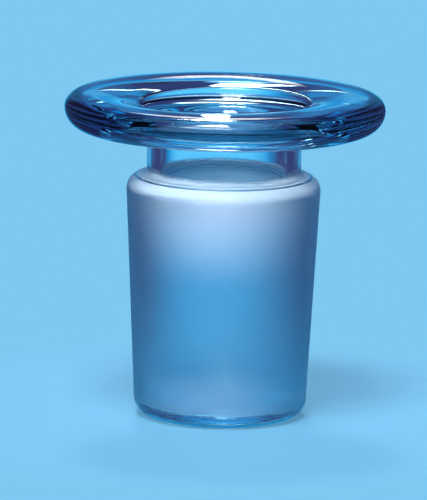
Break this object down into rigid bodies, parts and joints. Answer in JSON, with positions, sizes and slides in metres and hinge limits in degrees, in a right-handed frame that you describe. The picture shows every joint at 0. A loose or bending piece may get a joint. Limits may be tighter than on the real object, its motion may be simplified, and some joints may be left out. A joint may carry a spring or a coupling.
{
  "type": "glass stopper",
  "caption": "Hollow glass stopper: a ground tapered cone closed at its foot, a short clear neck, and a wide crowned flange with a rolled rim round an open mouth.",
  "frame": {"origin": "middle of the flat foot, on the surface that the stopper stands on", "axes": "+Z along the stopper's axis, from the foot to the mouth; X and Y are any two directions across it, because it is a body of revolution"},
  "size_m": [0.0396, 0.0396, 0.0403],
  "materials": {
    "glass": "clear colourless borosilicate glass, fire polished on the foot, neck, flange and lip, and ground to a fine satin frost on the cone"
  },
  "bodies": {
    "root": {"stopper": "glass"}
  },
  "joints": []
}
